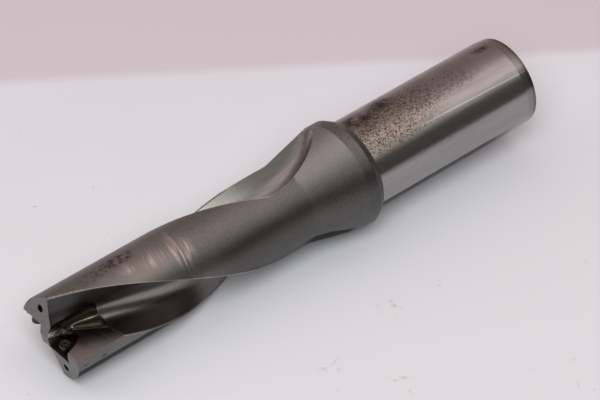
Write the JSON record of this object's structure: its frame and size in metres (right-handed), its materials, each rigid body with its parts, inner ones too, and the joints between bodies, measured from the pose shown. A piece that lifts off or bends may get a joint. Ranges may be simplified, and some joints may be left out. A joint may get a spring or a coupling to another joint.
{
  "type": "indexable drill",
  "caption": "Indexable drill with a cylindrical shank, a conical collar, helical flutes and empty insert pockets that still hold their clamping screws.",
  "frame": {"origin": "centre of the shank's rear face", "axes": "+Z along the tool axis towards the tip, +Y the way the peripheral pocket's floor faces"},
  "size_m": [0.0295, 0.0294, 0.1503],
  "materials": {
    "tool_steel": "satin, the shank ground and stained",
    "screw_steel": "dark satin"
  },
  "bodies": {
    "root": {"drill_body": "tool_steel", "central_insert_screw": "screw_steel", "peripheral_insert_screw": "screw_steel"}
  },
  "joints": []
}
